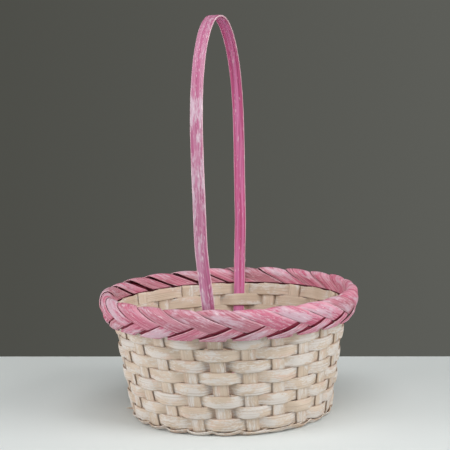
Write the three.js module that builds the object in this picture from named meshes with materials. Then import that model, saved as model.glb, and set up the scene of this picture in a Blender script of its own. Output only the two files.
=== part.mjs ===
// Easter basket: a round bamboo-splint basket with a woven wall, a braided rim and a hoop handle.
// Millimetres, +Z up. The origin is the middle of the footprint, on the standing plane.
// The handle lies in the YZ plane. Angles are counterclockwise from +X, seen from above.
import * as THREE from 'three';

// ---------------------------------------------------------------- driving dimensions

const clearance = 0.3;           // air between two pieces that touch on the real basket

// wall
const footRadius = 96;           // middle of the wall at the standing plane
const wallTopRadius = 112.9;     // middle of the wall at its top edge
const wallHeight = 107;          // top edge of the highest row of weaving
const firstRowEdge = 6.2;        // lower edge of the lowest row
const stakeCount = 24;
const stakeWidth = 12;
const stakeThickness = 1.2;
const stakeLean = 4;             // degrees by which the foot of each stake is ahead of its top
const rowCount = 9;
const rowGap = 0.6;              // between one row's top edge and the next row's lower edge
const weaverThickness = 0.9;

// base
const bendRadius = 6;            // of the middle of a splint, where the base turns up
const laneGap = 3;               // between neighbouring splints of the woven mat
const fanRun = 10;               // from the corner of the mat to the innermost base ring
const baseRingCount = 3;
const baseRingGap = 0.5;
const baseLevel = 1.8;           // middle of the base splints above the standing plane
const bindingWidth = 2.2;
const bindingThickness = 0.9;
const bindingEase = 0.7;         // air between a strand and the edge of the stake it passes
const bindingRise = 1.3;         // of each strand, up and down between the stakes
const bindingPlace = 46;         // degrees round the bend at which the strands lie

// rim
const rimWidth = 11;             // of one braided strip
const rimThickness = 0.9;
const rimLayerGap = 0.6;         // between the two layers of the braid
const rimSlot = 3;               // along the rim, between one strip and the next
const rimHeight = 12.3;          // ridge of the braid above the top of the wall
const rimReach = 10.85;          // widest part of the braid beyond the middle of the wall top
const rimDrop = 11.4;            // lower edge of the braid below the top of the wall
const rimInset = 1.9;            // from the middle of the wall to the middle of the braid inside
const rimStart = 0.9;            // inner edge of the braid above the top of the wall
const coreRadius = 2;            // round hoop inside the braid

// handle
const handleWidth = 11.8;
const handleThickness = 2;
const handleBevel = 0.5;
const handleHeight = 385;        // middle of the crown above the standing plane
const handleHalfSpan = 114;      // middle of a leg at the widest place
const handleShoulder = 190;      // height of the widest place
const handleFullness = 2.15;     // superellipse exponent of the crown, where 2 is an ellipse
const handleTwist = 5.2;         // degrees by which the crown is turned on the feet
const handleShoulderTwist = 2.1; // degrees of that turn reached at the widest place
const handleShift = -4.6;        // sideways place of the hoop at the widest place
const handleRimShift = -3.2;     // sideways place of the legs at the top of the wall
const handleFoot = 9;            // lower end of the legs

// ---------------------------------------------------------------- derived sizes

const radians = THREE.MathUtils.degToRad;
const wallSlope = (wallTopRadius - footRadius) / wallHeight;
const wallTilt = Math.atan(wallSlope);
const stakeStep = 360 / stakeCount;
const rowPitch = (wallHeight - firstRowEdge) / rowCount;
const weaverOffset = (stakeThickness + weaverThickness) / 2 + clearance;
const legOffset = (stakeThickness + handleThickness) / 2 + clearance;
const flatMargin = 1;            // a weaver stays flat this far past each edge of a stake

const wallRadius = (z) => footRadius + wallSlope * z;
const stakeAngle = (index, z) => radians(index * stakeStep + stakeLean * (1 - z / wallHeight));

// ---------------------------------------------------------------- solids from sections

// Joins closed sections of equal corner count into one solid. forward(k, c) says which way the
// quad between sections k and k + 1, at corner c, is split.
function loft(sections, closed, forward = () => true) {
  const corners = sections[0].length;
  const positions = sections.flat().flatMap((point) => [point.x, point.y, point.z]);
  const triangles = [];
  const spans = closed ? sections.length : sections.length - 1;
  for (let k = 0; k < spans; k += 1) {
    const here = k * corners;
    const next = ((k + 1) % sections.length) * corners;
    for (let c = 0; c < corners; c += 1) {
      const d = (c + 1) % corners;
      if (forward(k, c)) {
        triangles.push([here + c, here + d, next + d], [here + c, next + d, next + c]);
      } else {
        triangles.push([here + c, here + d, next + c], [here + d, next + d, next + c]);
      }
    }
  }
  if (!closed) {
    const last = (sections.length - 1) * corners;
    for (let c = 1; c < corners - 1; c += 1) {
      triangles.push([0, c + 1, c], [last, last + c, last + c + 1]);
    }
  }
  const geometry = new THREE.BufferGeometry();
  geometry.setAttribute('position', new THREE.Float32BufferAttribute(positions, 3));
  geometry.setIndex(triangles.flat());
  if (volume(positions, triangles) < 0) {
    geometry.setIndex(triangles.map(([a, b, c]) => [a, c, b]).flat());
  }
  geometry.computeVertexNormals();
  return geometry;
}

function volume(positions, triangles) {
  const corner = (index) => new THREE.Vector3().fromArray(positions, 3 * index);
  return triangles.reduce((sum, [a, b, c]) => sum + corner(a).dot(corner(b).cross(corner(c))), 0) / 6;
}

// A flat strip has sections of four corners: edge 1 back, edge 1 face, edge 2 face, edge 2 back.
// Both of its faces are split along the same diagonal, so that two crossing strips stay parallel.
const stripSplit = (slant) => (k, c) => (c % 2 === 0) || (c === 1) === (slant[k] !== 'back');

function stripSection(middle, across, normal, width, thickness) {
  const side = across.clone().normalize().multiplyScalar(width / 2);
  const depth = normal.clone().normalize().multiplyScalar(thickness / 2);
  const corner = (s, d) => middle.clone().addScaledVector(side, s).addScaledVector(depth, d);
  return [corner(-1, -1), corner(-1, 1), corner(1, 1), corner(1, -1)];
}

function strip(sections, closed = false, slant = []) {
  return loft(sections, closed, stripSplit(slant));
}

// ---------------------------------------------------------------- the wall surface

const radial = (angle) => new THREE.Vector3(Math.cos(angle), Math.sin(angle), 0);
const tangent = (angle) => new THREE.Vector3(-Math.sin(angle), Math.cos(angle), 0);
const up = new THREE.Vector3(0, 0, 1);

const wallNormal = (angle) => radial(angle).multiplyScalar(Math.cos(wallTilt))
  .addScaledVector(up, -Math.sin(wallTilt));
const wallUp = (angle) => radial(angle).multiplyScalar(Math.sin(wallTilt))
  .addScaledVector(up, Math.cos(wallTilt));

function wallPoint(angle, z, offset = 0) {
  return radial(angle).multiplyScalar(wallRadius(z)).setZ(z).addScaledVector(wallNormal(angle), offset);
}

// The direction across a stake, square to its lean.
function stakeAcross(index, z) {
  const step = 0.5;
  const along = wallPoint(stakeAngle(index, z + step), z + step)
    .sub(wallPoint(stakeAngle(index, z - step), z - step));
  return along.cross(wallNormal(stakeAngle(index, z)));
}

// ---------------------------------------------------------------- base and wall splints

const bendTurn = Math.PI / 2 - wallTilt;
const bendTangent = bendRadius * Math.tan(bendTurn / 2);
const bendStart = wallRadius(baseLevel) - bendTangent;
const bendTop = baseLevel + bendTangent * Math.cos(wallTilt);
const laneCount = stakeCount / 4;
const lanePitch = stakeWidth + laneGap;
const matEdge = (laneCount / 2) * lanePitch;
const matTurn = radians(stakeStep / 2 + stakeLean);
const fanRadius = Math.hypot(matEdge, matEdge - lanePitch / 2) + fanRun;
const matLift = (stakeThickness + clearance) / 2;

// One half of a splint, from the first crossing beyond the middle of the mat to the top of the
// wall. family 0 runs along the mat's X and family 1 along its Y, and side is +1 or -1 along it.
function halfSplint(family, lane, side) {
  const laneCentre = (lane - (laneCount - 1) / 2) * lanePitch;
  const fanAngle = (lane - (laneCount - 1) / 2) * radians(stakeStep);
  const heading = matTurn + family * Math.PI / 2 + (side < 0 ? Math.PI : 0);
  const axis = radial(heading);
  const cross = tangent(heading).multiplyScalar(side);
  const outward = heading + side * fanAngle;
  const sections = [];
  const add = (middle, across, normal) => {
    sections.push(stripSection(middle, across, normal, stakeWidth, stakeThickness));
  };
  const place = (along, aside, lift) => axis.clone().multiplyScalar(along)
    .addScaledVector(cross, aside).setZ(baseLevel + lift);

  // over and under the other family
  const flat = stakeWidth / 2 + clearance;
  for (let n = laneCount / 2; n < laneCount; n += 1) {
    const crossing = side > 0 ? n : laneCount - 1 - n;
    const crossed = family === 0 ? laneCount - 1 - crossing : crossing;
    const lift = (lane + crossed + family) % 2 === 0 ? matLift : -matLift;
    const centre = (n - (laneCount - 1) / 2) * lanePitch;
    add(place(centre - flat, laneCentre, lift), cross, up);
    add(place(centre + flat, laneCentre, lift), cross, up);
  }

  // fan out to the spoke of the stake
  const corner = Math.abs(laneCentre / Math.tan(fanAngle));
  const start = new THREE.Vector2(matEdge, laneCentre);
  const elbow = new THREE.Vector2(corner, laneCentre);
  const end = new THREE.Vector2(Math.cos(fanAngle), Math.sin(fanAngle)).multiplyScalar(fanRadius);
  const fan = new THREE.QuadraticBezierCurve(start, elbow, end);
  for (const t of [0.25, 0.5, 0.75, 1]) {
    const point = fan.getPoint(t);
    const way = fan.getTangent(t);
    const across = axis.clone().multiplyScalar(-way.y).addScaledVector(cross, way.x);
    add(place(point.x, point.y, 0), across, up);
  }

  // round the bend and up the wall
  for (let n = 0; n <= 5; n += 1) {
    const turn = bendTurn * n / 5;
    const middle = radial(outward).multiplyScalar(bendStart + bendRadius * Math.sin(turn))
      .setZ(baseLevel + bendRadius * (1 - Math.cos(turn)));
    const normal = radial(outward).multiplyScalar(-Math.sin(turn)).addScaledVector(up, Math.cos(turn));
    add(middle, tangent(outward).multiplyScalar(side), normal);
  }
  const index = Math.round(THREE.MathUtils.radToDeg(outward - radians(stakeLean)) / stakeStep);
  const steps = 6;
  for (let n = 1; n <= steps; n += 1) {
    const z = THREE.MathUtils.lerp(bendTop, wallHeight, n / steps);
    const angle = stakeAngle(index, z);
    add(wallPoint(angle, z), stakeAcross(index, z).multiplyScalar(side), wallNormal(angle).negate());
  }
  return sections;
}

function splint(family, lane) {
  return strip([...halfSplint(family, lane, -1).reverse(), ...halfSplint(family, lane, 1)]);
}

// ---------------------------------------------------------------- wall rows

const handleStakes = [stakeCount / 4, 3 * stakeCount / 4];

// How far a leg stands off the middle of its stake, along the wall: nothing at its foot. side is
// -1 for the leg at -Y and +1 for the leg at +Y, where the wall runs the other way.
const legShift = (side, z) => -side * handleRimShift * (z - handleFoot) / (wallHeight - handleFoot);

function wallRow(row) {
  const z = firstRowEdge + (row + 0.5) * rowPitch;
  const height = (rowPitch - rowGap) / Math.cos(wallTilt);
  const half = stakeWidth / 2 + flatMargin;
  const sections = [];
  for (let index = 0; index < stakeCount; index += 1) {
    const angle = stakeAngle(index, z);
    const outside = (index + row) % 2 === 0;
    const overLeg = !outside && handleStakes.includes(index);
    const offset = outside ? weaverOffset : -weaverOffset - (overLeg ? handleThickness + clearance : 0);
    const shift = overLeg ? legShift(index === handleStakes[0] ? 1 : -1, z) : 0;
    for (const aside of [-half + Math.min(0, shift), half + Math.max(0, shift)]) {
      const middle = wallPoint(angle, z, offset).addScaledVector(tangent(angle), aside);
      sections.push(stripSection(middle, wallUp(angle), wallNormal(angle), height, weaverThickness));
    }
  }
  return strip(sections, true);
}

// ---------------------------------------------------------------- base rings and binding

function baseRing(ring) {
  const pitch = (bendStart - fanRadius) / baseRingCount;
  const radius = fanRadius + (ring + 0.5) * pitch;
  const half = stakeWidth / 2 + clearance;
  const sections = [];
  for (let index = 0; index < stakeCount; index += 1) {
    const angle = stakeAngle(index, 0);
    const lift = (index + ring) % 2 === 0 ? weaverOffset : -weaverOffset;
    for (const aside of [-half, half]) {
      const middle = radial(angle).multiplyScalar(radius).addScaledVector(tangent(angle), aside);
      middle.z = baseLevel + lift;
      sections.push(stripSection(middle, radial(angle), up, pitch - baseRingGap, weaverThickness));
    }
  }
  return strip(sections, true);
}

// Two strands twist about each other, and the stakes stand in the loops between the crossings.
function bindingStrand(start) {
  const turn = radians(bindingPlace);
  const radius = bendStart + bendRadius * Math.sin(turn);
  const edgePhase = Math.asin(stakeWidth / 2 / radius) / radians(stakeStep) * Math.PI;
  const swing = ((stakeThickness + bindingThickness) / 2 + bindingEase) / Math.cos(edgePhase);
  const z = baseLevel + bendRadius * (1 - Math.cos(turn));
  const stepsPerStake = 4;
  const sections = [];
  for (let n = 0; n < stakeCount * stepsPerStake; n += 1) {
    const angle = stakeAngle(n / stepsPerStake, 0);
    const phase = Math.PI * n / stepsPerStake + start;
    const normal = radial(angle).multiplyScalar(Math.sin(turn)).addScaledVector(up, -Math.cos(turn));
    const rise = radial(angle).multiplyScalar(Math.cos(turn)).addScaledVector(up, Math.sin(turn));
    const middle = radial(angle).multiplyScalar(radius).setZ(z)
      .addScaledVector(normal, swing * Math.cos(phase))
      .addScaledVector(rise, bindingRise * Math.sin(phase));
    sections.push(stripSection(middle, rise, normal, bindingWidth, bindingThickness));
  }
  return strip(sections, true);
}

// ---------------------------------------------------------------- braided rim

// Half of the braid's section: up the inside of the wall top, over the ridge and down outside.
function rimProfile() {
  const at = (out, rise) => new THREE.Vector2(wallTopRadius + out, wallHeight + rise);
  const beyondWall = (rise) => at(rimInset + wallSlope * rise, rise);
  const ridge = at(0.62 * rimReach, rimHeight);
  const inside = new THREE.CubicBezierCurve(beyondWall(rimStart), beyondWall(0.45 * rimHeight),
    at(0.4 * rimReach, rimHeight), ridge);
  const outside = new THREE.CubicBezierCurve(ridge, at(0.9 * rimReach, rimHeight),
    at(1.36 * rimReach, 0.28 * rimHeight), at(0.52 * rimReach, -rimDrop));
  const path = new THREE.CurvePath();
  path.add(inside);
  path.add(outside);
  return path;
}

const rimPath = rimProfile();
const rimLength = rimPath.getLength();
const rimRadius = wallTopRadius + 0.75 * rimReach;
const rimPitch = 2 * Math.PI * rimRadius / stakeCount;
const rimSpread = rimPitch - rimSlot;
const rimRun = 1 / Math.tan(Math.asin(rimWidth / rimSpread));
const rimLevel = (rimThickness + rimLayerGap) / 2;

// A place on the braid: along the rim, down the profile, and away from the core.
function rimPoint(along, down, level) {
  const t = Math.min(down, rimLength) / rimLength;
  const point = rimPath.getPoint(t);
  const way = rimPath.getTangent(t).normalize();
  point.addScaledVector(way, Math.max(0, down - rimLength));
  point.add(new THREE.Vector2(-way.y, way.x).multiplyScalar(level));
  return radial(along / rimRadius).multiplyScalar(point.x).setZ(point.y);
}

// A strip climbs inside, crosses the ridge, dives under its neighbour, folds at the lower edge
// and comes back up over the next one. Lines of constant fall follow the first run of a strip,
// and lines of constant climb its second run, so each crossing has the same four corners.
function rimStrip(index) {
  const lane = index * rimPitch;
  const foldClimb = 2 * rimLength * rimRun;
  const half = rimSpread / 2;
  const sections = [];
  const slant = [];
  const add = (first, second, split = 'ahead') => {
    sections.push([first[0], first[1], second[1], second[0]]);
    slant.push(split);
  };
  const faces = (along, down, level, turned) => {
    const back = rimPoint(along, down, level - (turned ? -1 : 1) * rimThickness / 2);
    const face = rimPoint(along, down, level + (turned ? -1 : 1) * rimThickness / 2);
    return [back, face];
  };
  const meet = (fall, climb, level, turned) => faces((fall + climb) / 2,
    (climb - fall) / (2 * rimRun), level, turned);

  // up the inside and over the ridge, cut along the rim
  const ridgeEnd = rimLength - (rimPitch + half) / rimRun - 2;
  const steps = 7;
  for (let n = 0; n <= steps; n += 1) {
    const down = ridgeEnd * n / steps;
    const along = lane + down * rimRun;
    add(faces(along - half, down, rimLevel), faces(along + half, down, rimLevel));
  }
  // on top of one neighbour, then below the next
  for (const [crossed, level] of [[-2, rimLevel], [-1, -rimLevel]]) {
    for (const edge of [-half, half]) {
      const climb = foldClimb + lane + crossed * rimPitch + edge;
      add(meet(lane - half, climb, level), meet(lane + half, climb, level));
    }
  }
  slant[slant.length - 1] = 'back';
  // the fold at the lower edge
  const foldAt = lane + rimLength * rimRun;
  const foldStart = foldAt - half;
  const foldEnd = foldAt + half;
  add(faces(foldStart, rimLength, -rimLevel), faces(foldEnd, rimLength, -rimLevel));
  const outer = rimLength + rimLevel + rimThickness / 2;
  const inner = rimLength + (rimLevel - rimThickness / 2) / 2;
  const turnEdge = (along) => [rimPoint(along, outer, 0), rimPoint(along, inner, 0)];
  add(turnEdge(foldStart), turnEdge(foldEnd));
  add(faces(foldStart, rimLength, rimLevel, true), faces(foldEnd, rimLength, rimLevel, true), 'back');
  // over the next strip, and the end tucked below the one after
  for (const [crossed, level] of [[1, rimLevel], [2, -rimLevel]]) {
    for (const edge of [-half, half]) {
      const fall = lane + crossed * rimPitch + edge;
      const climb = foldClimb + lane;
      add(meet(fall, climb - half, level, true), meet(fall, climb + half, level, true));
    }
  }
  return strip(sections, false, slant);
}

function rimCore() {
  const centre = new THREE.Vector2(wallTopRadius + 0.6 * rimReach, wallHeight + 0.32 * rimHeight);
  const sides = 8;
  const profile = [];
  for (let n = 0; n <= sides; n += 1) {
    const turn = 2 * Math.PI * (n % sides) / sides;
    const corner = new THREE.Vector2(Math.cos(turn), Math.sin(turn));
    profile.push(corner.multiplyScalar(coreRadius).add(centre));
  }
  return new THREE.LatheGeometry(profile, 2 * stakeCount).rotateX(Math.PI / 2);
}

// ---------------------------------------------------------------- handle

// One leg of the hoop, from its foot to the crown. side is -1 for the leg at -Y and +1 at +Y.
function handleLeg(side) {
  const index = side < 0 ? handleStakes[1] : handleStakes[0];
  const stations = [];
  const rimEnd = wallHeight;
  for (let n = 0; n <= 5; n += 1) {
    const z = THREE.MathUtils.lerp(handleFoot, rimEnd, n / 5);
    const across = stakeAcross(index, z);
    stations.push({
      middle: wallPoint(stakeAngle(index, z), z, -legOffset).addScaledVector(across, legShift(side, z)),
      across: across.multiplyScalar(-side),
    });
  }
  const legTop = wallPoint(stakeAngle(index, rimEnd), rimEnd, -legOffset);
  const spanAtRim = Math.hypot(legTop.x, legTop.y);
  const lift = (handleShoulder - legTop.z) / 3;
  const shaft = new THREE.CubicBezierCurve(new THREE.Vector2(spanAtRim, legTop.z),
    new THREE.Vector2(spanAtRim + lift * wallSlope, legTop.z + lift),
    new THREE.Vector2(handleHalfSpan, handleShoulder - lift),
    new THREE.Vector2(handleHalfSpan, handleShoulder));
  const outline = [];
  for (let n = 1; n <= 5; n += 1) {
    outline.push(shaft.getPoint(n / 5));
  }
  const crownSteps = 14;
  for (let n = 1; n <= crownSteps; n += 1) {
    const turn = Math.PI / 2 * n / crownSteps;
    outline.push(new THREE.Vector2(
      handleHalfSpan * Math.max(0, Math.cos(turn)) ** (2 / handleFullness),
      handleShoulder + (handleHeight - handleShoulder) * Math.sin(turn) ** (2 / handleFullness)));
  }
  for (const { x: span, y: z } of outline) {
    const belowShoulder = THREE.MathUtils.smoothstep(z, legTop.z, handleShoulder);
    const aboveShoulder = THREE.MathUtils.smoothstep(z, handleShoulder, handleHeight);
    const yaw = radians(handleShoulderTwist * belowShoulder
      + (handleTwist - handleShoulderTwist) * aboveShoulder);
    const drift = THREE.MathUtils.lerp(handleRimShift, handleShift, belowShoulder);
    stations.push({
      middle: new THREE.Vector3(drift + side * span * Math.sin(yaw), side * span * Math.cos(yaw), z),
      across: new THREE.Vector3(Math.cos(yaw), -Math.sin(yaw), 0),
    });
  }
  return stations;
}

function handle() {
  const near = handleLeg(-1);
  const far = handleLeg(1).reverse().slice(1);
  const stations = [...near, ...far];
  const halfWidth = handleWidth / 2;
  const halfDepth = handleThickness / 2;
  const outline = [
    [-halfWidth, -halfDepth + handleBevel], [-halfWidth, halfDepth - handleBevel],
    [-halfWidth + handleBevel, halfDepth], [halfWidth - handleBevel, halfDepth],
    [halfWidth, halfDepth - handleBevel], [halfWidth, -halfDepth + handleBevel],
    [halfWidth - handleBevel, -halfDepth], [-halfWidth + handleBevel, -halfDepth],
  ];
  const sections = stations.map(({ middle, across }, k) => {
    const before = stations[Math.max(0, k - 1)].middle;
    const after = stations[Math.min(stations.length - 1, k + 1)].middle;
    const along = after.clone().sub(before).normalize();
    const side = across.clone().addScaledVector(along, -across.dot(along)).normalize();
    const depth = along.clone().cross(side);
    return outline.map(([s, d]) => middle.clone().addScaledVector(side, s).addScaledVector(depth, d));
  });
  return loft(sections, false);
}

// ---------------------------------------------------------------- materials and assembly

const material = (color, roughness) => new THREE.MeshStandardMaterial({ color, roughness, metalness: 0 });
const creamSplint = material(0xcdbfa6, 0.8);
const plainSplint = material(0xb89f7c, 0.85);
const pinkRim = material(0xc8788a, 0.75);
const pinkHandle = material(0xb8657c, 0.6);

const basket = new THREE.Group();
basket.name = 'easter_basket';

function addPiece(name, geometry, surface) {
  const mesh = new THREE.Mesh(geometry, surface);
  mesh.name = name;
  basket.add(mesh);
}

const numbered = (word, number) => `${word}_${String(number).padStart(2, '0')}`;

for (let family = 0; family < 2; family += 1) {
  for (let lane = 0; lane < laneCount; lane += 1) {
    addPiece(numbered('splint', family * laneCount + lane + 1), splint(family, lane), creamSplint);
  }
}
for (let row = 0; row < rowCount; row += 1) {
  addPiece(numbered('wall_row', row + 1), wallRow(row), creamSplint);
}
for (let ring = 0; ring < baseRingCount; ring += 1) {
  addPiece(numbered('base_ring', ring + 1), baseRing(ring), plainSplint);
}
addPiece('base_binding_01', bindingStrand(0), plainSplint);
addPiece('base_binding_02', bindingStrand(Math.PI), plainSplint);
addPiece('rim_core', rimCore(), plainSplint);
for (let index = 0; index < stakeCount; index += 1) {
  addPiece(numbered('rim_strip', index + 1), rimStrip(index), pinkRim);
}
addPiece('handle', handle(), pinkHandle);

export default basket;
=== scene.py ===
import math

import bpy
import numpy as np
from mathutils import Matrix, Vector


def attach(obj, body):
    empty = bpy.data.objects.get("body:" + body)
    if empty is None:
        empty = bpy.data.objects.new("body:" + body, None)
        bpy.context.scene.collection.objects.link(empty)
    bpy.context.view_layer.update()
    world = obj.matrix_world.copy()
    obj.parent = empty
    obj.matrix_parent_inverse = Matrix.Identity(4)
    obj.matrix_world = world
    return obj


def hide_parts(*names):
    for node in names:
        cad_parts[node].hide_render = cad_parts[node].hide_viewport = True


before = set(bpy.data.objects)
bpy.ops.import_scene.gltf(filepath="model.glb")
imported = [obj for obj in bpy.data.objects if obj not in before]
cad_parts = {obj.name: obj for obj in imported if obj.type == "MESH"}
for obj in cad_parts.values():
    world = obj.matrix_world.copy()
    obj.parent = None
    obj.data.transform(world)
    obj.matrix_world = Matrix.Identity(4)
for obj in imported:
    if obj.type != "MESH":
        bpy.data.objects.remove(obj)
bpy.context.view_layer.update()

MM = 0.001

# ---------------------------------------------------------------- sizes, as in the CAD model

FOOT_RADIUS = 96.0
WALL_TOP_RADIUS = 112.9
WALL_HEIGHT = 107.0
FIRST_ROW_EDGE = 6.2
STAKES = 24
STAKE_WIDTH = 12.0
STAKE_THICKNESS = 1.2
STAKE_LEAN = 4.0
ROWS = 9
ROW_GAP = 0.6
WEAVER_THICKNESS = 0.9
CLEARANCE = 0.3
BEND_RADIUS = 6.0
LANE_GAP = 3.0
FAN_RUN = 10.0
BASE_RINGS = 3
BASE_RING_GAP = 0.5
BASE_LEVEL = 1.8
BINDING_WIDTH = 2.2
BINDING_THICKNESS = 0.9
BINDING_EASE = 0.7
BINDING_RISE = 1.3
BINDING_PLACE = math.radians(46)
RIM_WIDTH = 11.0
RIM_THICKNESS = 0.9
RIM_LAYER_GAP = 0.6
RIM_SLOT = 3.0
RIM_HEIGHT = 12.3
RIM_REACH = 10.85
RIM_DROP = 11.4
RIM_INSET = 1.9
RIM_START = 0.9
HANDLE_WIDTH = 11.8
HANDLE_THICKNESS = 2.0
HANDLE_HEIGHT = 385.0
HANDLE_HALF_SPAN = 114.0
HANDLE_SHOULDER = 190.0
HANDLE_FULLNESS = 2.15
HANDLE_TWIST = math.radians(5.2)
HANDLE_SHOULDER_TWIST = math.radians(2.1)
HANDLE_SHIFT = -4.6
HANDLE_RIM_SHIFT = -3.2
HANDLE_FOOT = 9.0

WALL_SLOPE = (WALL_TOP_RADIUS - FOOT_RADIUS) / WALL_HEIGHT
WALL_TILT = math.atan(WALL_SLOPE)
STEP = 2 * math.pi / STAKES
ROW_PITCH = (WALL_HEIGHT - FIRST_ROW_EDGE) / ROWS
WEAVER_OFFSET = (STAKE_THICKNESS + WEAVER_THICKNESS) / 2 + CLEARANCE
LEG_OFFSET = (STAKE_THICKNESS + HANDLE_THICKNESS) / 2 + CLEARANCE
HANDLE_STAKES = (STAKES // 4, 3 * STAKES // 4)


def leg_shift(side, z):
    """How far a leg stands off the middle of its stake, along the wall. side is -1 at -Y."""
    return -side * HANDLE_RIM_SHIFT * (z - HANDLE_FOOT) / (WALL_HEIGHT - HANDLE_FOOT)


# ---------------------------------------------------------------- small helpers


def ease(t):
    """0 below 0, 1 above 1, and a smooth rise between."""
    t = np.clip(t, 0.0, 1.0)
    return t * t * (3 - 2 * t)


def wobble(x, seed, period, size):
    """A smooth, repeatable unevenness along x, of about that size."""
    rng = np.random.default_rng(seed)
    total = np.zeros_like(np.asarray(x, float))
    for share, weight in ((1.0, 0.6), (0.47, 0.35), (0.21, 0.2)):
        phase = rng.uniform(0, 2 * math.pi)
        total = total + weight * np.sin(2 * math.pi * np.asarray(x) / (period * share) + phase)
    return size * total


def radial(angle):
    angle = np.asarray(angle, float)
    return np.stack([np.cos(angle), np.sin(angle), 0 * angle], -1)


def tangent(angle):
    angle = np.asarray(angle, float)
    return np.stack([-np.sin(angle), np.cos(angle), 0 * angle], -1)


UP = np.array([0.0, 0.0, 1.0])


def unit(v):
    return v / np.linalg.norm(v, axis=-1, keepdims=True)


# Places across a strip, from one edge to the other, and how thick it is there.
ACROSS = np.array([-1.0, -0.95, -0.78, -0.4, 0.0, 0.4, 0.78, 0.95, 1.0])
BODY = np.array([0.4, 0.85, 1.0, 1.0, 1.0, 1.0, 1.0, 0.85, 0.4])


def add_piece(name, points, faces, grain, relief, nodes, slot):
    """A smooth mesh with the two attributes that the materials read. It stands for those nodes."""
    mesh = bpy.data.meshes.new(name)
    mesh.from_pydata((points * MM).tolist(), [], faces.tolist())
    mesh.update()
    mesh.polygons.foreach_set("use_smooth", np.ones(len(mesh.polygons), bool))
    for title, values in (("grain", grain), ("relief", relief)):
        attribute = mesh.attributes.new(title, "FLOAT_VECTOR", "POINT")
        attribute.data.foreach_set("vector", values.astype(np.float32).ravel())
    mesh.materials.append(MATERIALS[slot])
    piece = bpy.data.objects.new(name, mesh)
    bpy.context.scene.collection.objects.link(piece)
    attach(piece, "root")
    if nodes:
        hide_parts(*nodes)


def make_strip(name, grid, thickness, along, across, tone, nodes, slot, proud, face=1.0, tip=1.0):
    """A solid strip round a grid of middle points: grid[station, place across]. Its face is on the
    side that the cross product of along and across points to, times face. tone is the strip's own
    number in the noise, proud says from 0 to 1 how far each point stands out of the weave, and tip
    is the share of the thickness that is left at the last station."""
    count, places = grid.shape[:2]
    run = np.gradient(grid, axis=0)
    cross = np.gradient(grid, axis=1)
    normal = unit(np.cross(run, cross)) * face
    body = BODY if places == len(BODY) else np.interp(np.linspace(-1, 1, places), ACROSS, BODY)
    depth = np.broadcast_to(np.asarray(thickness, float), (count,))[:, None] * body[None, :] / 2
    depth[-1] *= tip
    front = grid + normal * depth[..., None]
    back = grid - normal * depth[..., None]
    points = np.concatenate([front.reshape(-1, 3), back.reshape(-1, 3)])
    total = count * places
    index = np.arange(total).reshape(count, places)
    quads = np.stack([index[:-1, :-1], index[1:, :-1], index[1:, 1:], index[:-1, 1:]], -1)
    quads = quads.reshape(-1, 4)
    edge = np.concatenate([index[:, 0], index[-1, 1:], index[::-1, -1][1:], index[0, ::-1][1:-1]])
    after = np.roll(edge, -1)
    sides = np.stack([edge, edge + total, after + total, after], -1)
    faces = np.concatenate([quads[:, ::-1] if face < 0 else quads,
                            (quads if face < 0 else quads[:, ::-1]) + total,
                            sides if face > 0 else sides[:, ::-1]])
    grain = np.stack([along, across, np.full_like(along, tone)], -1).reshape(-1, 3)
    high = np.broadcast_to(np.clip(proud, 0, 1), (count, places)).reshape(-1)
    relief = np.stack([np.concatenate([high, high]),
                       np.concatenate([np.ones(total), np.zeros(total)]),
                       np.zeros(2 * total)], -1)
    add_piece(name, points, faces, np.concatenate([grain, grain]), relief, nodes, slot)


def sweep(middle, side, width, seed=0, ragged=0.0):
    """The grid of a flat strip: middle[station], the direction across it, and its width."""
    side = unit(side)
    length = np.concatenate([[0], np.cumsum(np.linalg.norm(np.diff(middle, axis=0), axis=1))])
    half = np.broadcast_to(np.asarray(width, float) / 2, (len(middle),))
    left = half + wobble(length, seed * 2 + 1, 37.0, ragged)
    right = half + wobble(length, seed * 2 + 2, 41.0, ragged)
    reach = np.where(ACROSS[None, :] < 0, left[:, None], right[:, None]) * ACROSS[None, :]
    grid = middle[:, None, :] + side[:, None, :] * reach[..., None]
    along = np.broadcast_to(length[:, None], reach.shape)
    return grid, along, reach


# ---------------------------------------------------------------- materials


BUMP_STRENGTH = 0.9
ROSY = (0.74, 0.50, 0.42)        # a blush in some splints of the wall
DUSTY = (0.42, 0.20, 0.225)      # brownish dye in some strips of the braid
FLECK = (0.82, 0.70, 0.74)       # dye that was rubbed off
# a paler colour towards a strip's edges
PALE_EDGE = (0.80, 0.58, 0.63)


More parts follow.
